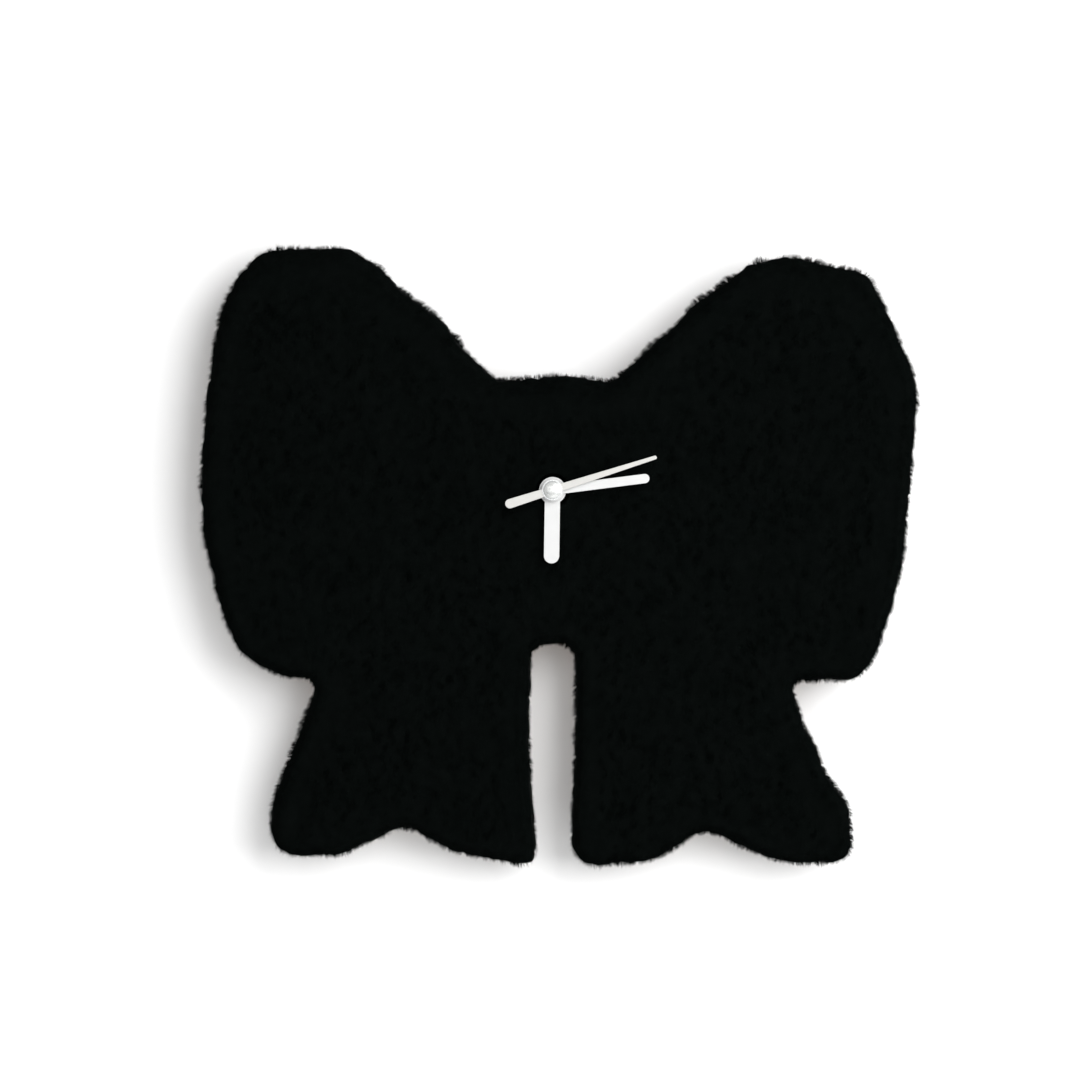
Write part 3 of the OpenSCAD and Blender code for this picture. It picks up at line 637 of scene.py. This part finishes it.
def hub_strands(count):
    """Long fibres that close in round the nut, up to the hour hand's boss."""
    turn = rng.uniform(0, 2 * math.pi, count)
    radial = np.c_[np.cos(turn), np.zeros(count), np.sin(turn)]
    start = rng.uniform(NUT_CLEAR + 0.0002, HUB_ROOTS, count)
    root = radial * start[:, None] + [0, FABRIC_FRONT, 0]
    end = rng.uniform(*HUB_TIPS, count)
    aside = np.c_[-radial[:, 2], np.zeros(count), radial[:, 0]] * rng.normal(0, 0.0008, count)[:, None]
    high = rng.uniform(*HUB_HEIGHTS, count)
    return root, np.tile([0.0, -1.0, 0.0], (count, 1)), radial * (end - start)[:, None] + aside, high


def side_strands(count):
    """Round the fabric's edge: over its front rounding, straight down its side and over its back rounding."""
    loop = resampled(board_loop, SIDE_STEP)
    smoothed = outward(loop)
    for _ in range(3):
        smoothed = smoothed + np.roll(smoothed, 1, axis=0) + np.roll(smoothed, -1, axis=0)
        smoothed /= np.linalg.norm(smoothed, axis=1, keepdims=True)
    i = rng.integers(0, len(loop), count)
    n2 = smoothed[i]
    # The surface faces the front or the back at an angle of 0, and outwards at a quarter turn
    across = rng.uniform(0, 1, count)
    front, back = across < FRONT_SHARE, across > 1 - BACK_SHARE
    quarter = math.pi / 2
    angle = np.where(front, across / FRONT_SHARE * quarter,
                     np.where(back, (1 - across) / BACK_SHARE * quarter, quarter))
    straight = np.clip((across - FRONT_SHARE) / (1 - FRONT_SHARE - BACK_SHARE), 0, 1)
    top, low = FABRIC_FRONT + EDGE_RADIUS, FABRIC_BACK - EDGE_RADIUS
    sign = np.where(back, 1.0, -1.0)
    centre_y = np.where(front, top, np.where(back, low, top + straight * (low - top)))
    out = FABRIC_THICK - EDGE_RADIUS * (1 - np.sin(angle))
    flat = loop[i] + n2 * out[:, None]
    root = np.c_[flat[:, 0], centre_y + sign * EDGE_RADIUS * np.cos(angle), flat[:, 1]]
    normal = np.c_[n2[:, 0] * np.sin(angle), sign * np.cos(angle), n2[:, 1] * np.sin(angle)]
    q = np.c_[i * SIDE_STEP, root[:, 1] * 1.5]
    to, own = clumps(q, SIDE_TUFT, 33)
    # The lobes' upper edges have deeper tufts where they slope down to the knot
    strip = np.c_[q[:, 0], 0 * q[:, 0]]
    tufted = smooth_step((n2[:, 1] - 0.35) / 0.3) * smooth_step((np.abs(flat[:, 0]) - KNOT) / KNOT_FADE)
    tufted *= smooth_step(-np.sign(flat[:, 0]) * n2[:, 0] / 0.2)
    wave = (0.6 + 1.3 * tufted) * value_noise(strip, 0.0066, 41) + 0.35 * value_noise(strip, 0.0026, 42)
    backward = np.c_[np.zeros(count), np.where(back, 0.15, 0.30), np.zeros(count)]
    side = lean(normal, own, backward)
    # The pile goes over from the front's height to the side's and then the border's
    depth_here = np.where(front, FRONT_HEIGHT + (PILE_SIDE - FRONT_HEIGHT) * np.sin(angle),
                          np.where(back, BACK_HEIGHT + (PILE_SIDE - BACK_HEIGHT) * np.sin(angle), PILE_SIDE))
    depth_here = depth_here + np.where(front, FRONT_FULL, BACK_FULL) * np.sin(2 * angle)
    upper = UPPER_EXTRA * np.clip(n2[:, 1], 0, 1) * np.sin(angle)
    high = EXTRA + upper + depth_here * (0.97 + 0.08 * own[:, 2]) + WAVES * wave
    high = high * rng.uniform(0.88, 1.05, count)
    along = np.c_[n2[:, 1], np.zeros(count), -n2[:, 0]]
    pull = -along * to[:, :1] * SIDE_DRAW
    reach = rng.uniform(*SIDE_LEAN, count)
    return root, normal, side * reach[:, None] + pull, high


def back_strands(pitch):
    """The pile on the fabric's border, behind the board."""
    q = scattered(pitch)
    depth = field.depth(q)
    q = q[(depth > PILE_SIDE + EDGE_RADIUS) & (depth < BORDER - 0.0004)]
    to, own = clumps(q, BACK_TUFT, 57)
    normal = np.tile([0.0, 1.0, 0.0], (len(q), 1))
    high = BACK_HEIGHT * (0.72 + 0.22 * own[:, 2]) * rng.uniform(0.85, 1.05, len(q))
    side = lean(normal, own, np.zeros((len(q), 3)))
    over = side * rng.uniform(*BACK_LEAN, len(q))[:, None] + raised(to) * BACK_DRAW
    return raised(q, FABRIC_BACK), normal, over, high


def strand_mesh(name, root, normal, over, high, width):
    """One mesh of three-sided fibres, each bent once, drawn to a point, and with its own patch of the UVs."""
    n = len(root)
    sink = root - normal * 0.0002
    knee = root + normal * (high * 0.58)[:, None] + over * 0.30
    tip = root + normal * high[:, None] + over
    aim = tip - root
    aim /= np.linalg.norm(aim, axis=1, keepdims=True)
    helper = np.where(np.abs(aim[:, :1]) < 0.8, [[1.0, 0, 0]], [[0, 0, 1.0]])
    u = np.cross(aim, helper)
    u /= np.linalg.norm(u, axis=1, keepdims=True)
    v = np.cross(aim, u)
    spin = rng.uniform(0, 2 * math.pi, n)
    verts = np.empty((n, 7, 3))
    for k in range(3):
        a = spin + 2 * math.pi * k / 3
        arm = u * np.cos(a)[:, None] + v * np.sin(a)[:, None]
        verts[:, k] = sink + arm * (0.5 * width)[:, None]
        verts[:, 3 + k] = knee + arm * (0.42 * width)[:, None]
    verts[:, 6] = tip
    quads = np.array([(0, 1, 4, 3), (1, 2, 5, 4), (2, 0, 3, 5)])
    tris = np.array([(3, 4, 6), (4, 5, 6), (5, 3, 6)])
    base = (np.arange(n) * 7)[:, None]
    loops = np.concatenate([(quads.ravel() + base), (tris.ravel() + base)], axis=1).ravel()
    sizes = np.tile([4, 4, 4, 3, 3, 3], n)
    mesh = bpy.data.meshes.new(name)
    mesh.vertices.add(n * 7)
    mesh.vertices.foreach_set("co", verts.ravel())
    mesh.loops.add(len(loops))
    mesh.loops.foreach_set("vertex_index", loops)
    mesh.polygons.add(n * 6)
    mesh.polygons.foreach_set("loop_start", np.concatenate([[0], np.cumsum(sizes)[:-1]]))
    mesh.polygons.foreach_set("use_smooth", np.ones(n * 6, bool))
    mesh.attributes.new("along", "FLOAT", "POINT").data.foreach_set(
        "value", np.tile(np.array([0, 0, 0, 0.6, 0.6, 0.6, 1], np.float32), n))
    side = math.ceil(math.sqrt(n))
    cell = np.c_[np.arange(n) % side, np.arange(n) // side]
    quad = ((0, 0), (1 / 3, 0), (1 / 3, 0.6), (0, 0.6))
    tri = ((0, 0.6), (1 / 3, 0.6), (1 / 6, 1))
    corner = np.array([(k / 3 + a, b) for shape in (quad, tri) for k in range(3) for a, b in shape])
    place = (cell[:, None] + 0.08 + 0.84 * corner) / side
    mesh.uv_layers.new(name="OFBake").data.foreach_set("uv", place.astype(np.float32).ravel())
    mesh.update()
    mesh.validate()
    mesh.materials.append(fibre)
    obj = linked(name, mesh)
    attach(obj, "clock_body")
    return obj


def in_parts(name, strands, width):
    """Splits a set of fibres into neighbouring patches, and makes a mesh of each."""
    root = strands[0]
    parts = math.ceil(len(root) / MOST_FIBRES)
    order = np.argsort(root[:, 0], kind="stable")
    made = []
    for k, pick in enumerate(np.array_split(order, parts)):
        thick = rng.uniform(*width, len(pick))
        made.append(strand_mesh(f"{name}_{k + 1}", *(part[pick] for part in strands), thick))
    return made


wool = underfur()
pile = [wool]
pile += in_parts("pile_front", front_strands(FRONT_PITCH), FRONT_THICK)
pile += in_parts("pile_hub", hub_strands(HUB_COUNT), HUB_THICK)
pile += in_parts("pile_side", side_strands(SIDE_COUNT), SIDE_THICK)
pile += in_parts("pile_border", back_strands(BACK_PITCH), SIDE_THICK)
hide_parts("fur_cover")

# ---------------------------------------------------------------- finishes of the hard parts

def fibreboard():
    """Pressed wood fibre: short pale and dark hairs over a mottled brown."""
    mat, tree, bsdf = shader("fibreboard", Specular_IOR_Level=0.2)
    vector = object_coords(tree)
    hairs = noise(tree, object_coords(tree, (1.0, 1.0, 3.5)), 520.0, 6.0, 0.75)
    hairs2 = noise(tree, object_coords(tree, (3.5, 1.0, 1.0)), 460.0, 6.0, 0.75)
    both = node(tree, "ShaderNodeMix")
    both.data_type = "FLOAT"
    both.inputs["Factor"].default_value = 0.5
    links(tree, (hairs, both.inputs[2]), (hairs2, both.inputs[3]))
    blot = noise(tree, vector, 30.0, 3.0)
    browns = [(0.34, (0.115, 0.062, 0.030)), (0.5, (0.235, 0.140, 0.072)), (0.66, (0.40, 0.27, 0.155))]
    tint = multiplied(tree, ramp(tree, both.outputs[0], browns),
                      ramp(tree, blot, [(0.3, grey(0.72)), (0.7, grey(1.0))]), 0.6)
    links(tree, (tint, bsdf.inputs["Base Color"]),
          (ramp(tree, both.outputs[0], [(0.3, grey(0.92)), (0.7, grey(0.72))]), bsdf.inputs["Roughness"]))
    bump(tree, bsdf, both.outputs[0], 0.00025)
    return mat


def moulded(name, dark, light, rough, **sockets):
    """Spark-eroded moulded plastic, with a fine grain and faint flow marks."""
    return mottled(name, dark, light, 40.0, rough, 0.00003, 2600.0, **sockets)


def turned_metal(name, dark, light, rough):
    """Lathe-turned metal: fine rings about the hands' axis, and slight stains."""
    mat, tree, bsdf = shader(name, Metallic=1.0)
    vector = object_coords(tree)
    rings = node(tree, "ShaderNodeTexWave", Scale=1400.0, Distortion=0.6, Detail=1.0)
    rings.wave_type, rings.rings_direction = "RINGS", "Y"
    stain = noise(tree, vector, 220.0, 4.0)
    links(tree, (vector, rings.inputs["Vector"]),
          (ramp(tree, stain, [(0.3, dark), (0.7, light)]), bsdf.inputs["Base Color"]),
          (ramp(tree, stain, [(0.25, grey(rough[1])), (0.75, grey(rough[0]))]), bsdf.inputs["Roughness"]))
    bump(tree, bsdf, rings.outputs["Fac"], 0.00002)
    return mat


def rolled_steel(name, dark, light, rough, scale=(1, 1, 0.06)):
    """Rolled sheet: streaks along the sheet and a spangled plating."""
    mat, tree, bsdf = shader(name, Metallic=1.0)
    streak = noise(tree, object_coords(tree, scale), 1500.0, 3.0, 0.6)
    spangle = noise(tree, object_coords(tree), 160.0, 2.0)
    links(tree, (ramp(tree, spangle, [(0.3, dark), (0.7, light)]), bsdf.inputs["Base Color"]),
          (ramp(tree, streak, [(0.25, grey(rough[1])), (0.75, grey(rough[0]))]), bsdf.inputs["Roughness"]))
    bump(tree, bsdf, streak, 0.00002)
    return mat


def wound_copper():
    mat, tree, bsdf = shader("wound_copper", Metallic=1.0, Coat_Weight=0.4, Coat_Roughness=0.15)
    turns = node(tree, "ShaderNodeTexWave", Scale=1600.0, Distortion=0.8, Detail=1.0)
    turns.bands_direction = "X"
    links(tree, (object_coords(tree), turns.inputs["Vector"]),
          (ramp(tree, turns.outputs["Fac"], [(0.1, (0.20, 0.065, 0.02)), (0.8, (0.62, 0.25, 0.09))]),
           bsdf.inputs["Base Color"]),
          (ramp(tree, turns.outputs["Fac"], [(0.1, grey(0.5)), (0.9, grey(0.28))]), bsdf.inputs["Roughness"]))
    bump(tree, bsdf, turns.outputs["Fac"], 0.00006)
    return mat


def etched_board():
    mat, tree, bsdf = shader("etched_board", Coat_Weight=0.3, Coat_Roughness=0.2)
    vector = object_coords(tree)
    tracks = node(tree, "ShaderNodeTexBrick", Scale=260.0, Mortar_Size=0.06)
    tracks.inputs["Color1"].default_value = (0.012, 0.110, 0.038, 1)
    tracks.inputs["Color2"].default_value = (0.016, 0.135, 0.045, 1)
    tracks.inputs["Mortar"].default_value = (0.05, 0.24, 0.09, 1)
    turn = tree.nodes.new("ShaderNodeMapping")
    turn.inputs["Rotation"].default_value = (math.pi / 2, 0, 0)
    links(tree, (vector, turn.inputs["Vector"]), (turn.outputs["Vector"], tracks.inputs["Vector"]),
          (tracks.outputs["Color"], bsdf.inputs["Base Color"]),
          (ramp(tree, noise(tree, vector, 400.0), [(0.3, grey(0.35)), (0.7, grey(0.5))]),
           bsdf.inputs["Roughness"]))
    return mat


def cell_jacket():
    """A plain cell: bare negative end, black film, a copper-coloured band and the bare positive cap."""
    low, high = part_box("battery")
    mat, tree, bsdf = shader("cell_jacket", Specular_IOR_Level=0.5)
    coords = tree.nodes.new("ShaderNodeTexCoord")
    split = tree.nodes.new("ShaderNodeSeparateXYZ")
    share = node(tree, "ShaderNodeMapRange")
    share.inputs["From Min"].default_value, share.inputs["From Max"].default_value = low.x, high.x
    links(tree, (coords.outputs["Object"], split.inputs["Vector"]),
          (split.outputs["X"], share.inputs["Value"]))

    def bands(stops):
        colour = ramp(tree, share.outputs["Result"], stops)
        colour.node.color_ramp.interpolation = "CONSTANT"
        return colour

    steel, film, copper = (0.60, 0.60, 0.61), (0.011, 0.011, 0.012), (0.42, 0.19, 0.075)
    scuff = noise(tree, object_coords(tree, (0.2, 1, 1)), 500.0, 4.0, 0.7)
    tint = multiplied(tree, bands([(0.0, steel), (0.012, film), (0.70, copper), (0.955, steel)]),
                      ramp(tree, scuff, [(0.25, grey(0.78)), (0.7, grey(1.0))]))
    links(tree, (tint, bsdf.inputs["Base Color"]),
          (bands([(0.0, grey(1)), (0.012, grey(0)), (0.70, grey(0.85)), (0.955, grey(1))]),
           bsdf.inputs["Metallic"]),
          (ramp(tree, scuff, [(0.3, grey(0.26)), (0.7, grey(0.40))]), bsdf.inputs["Roughness"]))
    return mat


def lacquer(name, dark, light, rough):
    """Lacquer on thin sheet, with a faint orange peel."""
    return mottled(name, dark, light, 120.0, rough, 0.00001, 1500.0, Coat_Weight=0.15, Coat_Roughness=0.25)


CAP_RADIUS = 0.0047


def pearly_cap():
    """Plated plastic dome: bright at its crown, with a band of painted shade, a little greyer, where it turns
    down to the rim.
    """
    mat, tree, bsdf = shader("pearly_cap", Metallic=0.6)
    vector = object_coords(tree)
    distance = tree.nodes.new("ShaderNodeVectorMath")
    distance.operation = "LENGTH"
    flat = tree.nodes.new("ShaderNodeVectorMath")
    flat.operation = "MULTIPLY"
    flat.inputs[1].default_value = (1, 0, 1)
    radius = node(tree, "ShaderNodeMapRange")
    radius.inputs["From Max"].default_value = CAP_RADIUS
    links(tree, (vector, flat.inputs[0]), (flat.outputs[0], distance.inputs[0]),
          (distance.outputs["Value"], radius.inputs["Value"]))
    # crown and rim are the plating's tone; turned is painted shade where the dome turns down
    crown, turned, rim = (0.60, 0.61, 0.60), (0.44, 0.45, 0.45), (0.62, 0.63, 0.63)
    rings = ramp(tree, radius.outputs["Result"], [(0.0, crown), (0.72, crown), (0.86, turned), (1.0, rim)])
    worn = ramp(tree, noise(tree, vector, 500.0, 3.0), [(0.3, grey(0.93)), (0.7, grey(1.0))])
    links(tree, (multiplied(tree, rings, worn), bsdf.inputs["Base Color"]),
          (ramp(tree, noise(tree, vector, 900.0), [(0.3, grey(0.24)), (0.7, grey(0.29))]),
           bsdf.inputs["Roughness"]))
    return mat


finishes = {
    "board": fibreboard(),
    "case_plastic": moulded("case_plastic", (0.008, 0.008, 0.009), (0.013, 0.013, 0.014), (0.42, 0.58)),
    "gear_plastic": moulded("gear_plastic", (0.72, 0.69, 0.58), (0.80, 0.77, 0.68), (0.32, 0.45),
                            Subsurface_Weight=0.15, Subsurface_Radius=(0.001, 0.001, 0.0008)),
    "brass": turned_metal("brass", (0.62, 0.42, 0.17), (0.80, 0.60, 0.30), (0.20, 0.36)),
    "rubber": mottled("rubber", (0.010, 0.010, 0.010), (0.020, 0.020, 0.019), 150.0, (0.75, 0.92),
                      0.00004, 1800.0),
    "sheet_steel": rolled_steel("sheet_steel", (0.52, 0.53, 0.55), (0.68, 0.69, 0.71), (0.26, 0.42)),
    "core_steel": rolled_steel("core_steel", (0.28, 0.28, 0.30), (0.40, 0.40, 0.42), (0.35, 0.55),
                               (0.06, 1, 1)),
    "magnet": mottled("magnet", (0.045, 0.045, 0.050), (0.075, 0.075, 0.080), 300.0, (0.5, 0.7),
                      0.00003, 2000.0, Metallic=0.6),
    "bobbin": moulded("bobbin", (0.66, 0.58, 0.41), (0.76, 0.69, 0.52), (0.35, 0.5)),
    "winding": wound_copper(),
    "circuit_board": etched_board(),
    "epoxy": mottled("epoxy", (0.006, 0.006, 0.006), (0.014, 0.014, 0.014), 400.0, (0.08, 0.2),
                     0.00005, 500.0),
    "crystal_can": rolled_steel("crystal_can", (0.58, 0.59, 0.61), (0.72, 0.73, 0.74), (0.18, 0.3),
                                (1, 1, 0.1)),
    "cell_jacket": cell_jacket(),
    "knob_plastic": moulded("knob_plastic", (0.42, 0.42, 0.40), (0.50, 0.50, 0.48), (0.4, 0.55)),
    "hand_white": lacquer("hand_white", (0.52, 0.523, 0.521), (0.545, 0.548, 0.545), (0.42, 0.55)),
    "second_hand_white": lacquer("second_hand_white", (0.45, 0.446, 0.428), (0.48, 0.476, 0.456),
                                 (0.42, 0.55)),
    "cap": pearly_cap(),
    "axle_steel": turned_metal("axle_steel", (0.55, 0.55, 0.57), (0.72, 0.72, 0.74), (0.2, 0.35)),
    "black_pile": fibre,
}

slot_of = {part["node"]: part["material_slot"] for part in frame["record"]["subparts"]}
for name, obj in nodes.items():
    obj.data.materials.clear()
    obj.data.materials.append(finishes[slot_of[name]])


def finer(name, width):
    """Stands a copy with small rounded edges in a CAD node's place."""
    mesh = nodes[name].data.copy()
    mesh.name = name + "_finished"
    bm = bmesh.new()
    bm.from_mesh(mesh)
    bmesh.ops.remove_doubles(bm, verts=bm.verts, dist=2e-6)
    bmesh.ops.dissolve_limit(bm, angle_limit=math.radians(0.6), verts=bm.verts, edges=bm.edges)
    bm.to_mesh(mesh)
    bm.free()
    # The normals that came with the CAD mesh don't fit the cleaned one
    if "custom_normal" in mesh.attributes:
        mesh.attributes.remove(mesh.attributes["custom_normal"])
    obj = linked(name + "_finished", mesh)
    bevel = obj.modifiers.new("bevel", "BEVEL")
    bevel.width, bevel.segments, bevel.limit_method = width, 2, "ANGLE"
    bevel.angle_limit, bevel.harden_normals = math.radians(32), True
    mesh.shade_smooth()
    weighted = obj.modifiers.new("weighted", "WEIGHTED_NORMAL")
    weighted.mode, weighted.weight = "FACE_AREA", 100
    deps = bpy.context.evaluated_depsgraph_get()
    done = bpy.data.meshes.new_from_object(obj.evaluated_get(deps))
    obj.modifiers.clear()
    obj.data = done
    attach(obj, nodes[name]["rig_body"])
    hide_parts(name)


EDGE_WIDTHS = {
    "hour_hand": 0.00010, "minute_hand": 0.00010, "second_hand": 0.00010, "front_case": 0.00025,
    "rear_case": 0.00025, "hanger_plate": 0.00015, "hex_nut": 0.00020, "brass_washer": 0.00010,
    "rubber_washer": 0.00015, "backing_board": 0.00020, "battery": 0.00030, "positive_contact": 0.00006,
    "negative_contact": 0.00006, "threaded_bushing": 0.00015,
}
for name, width in EDGE_WIDTHS.items():
    finer(name, width)
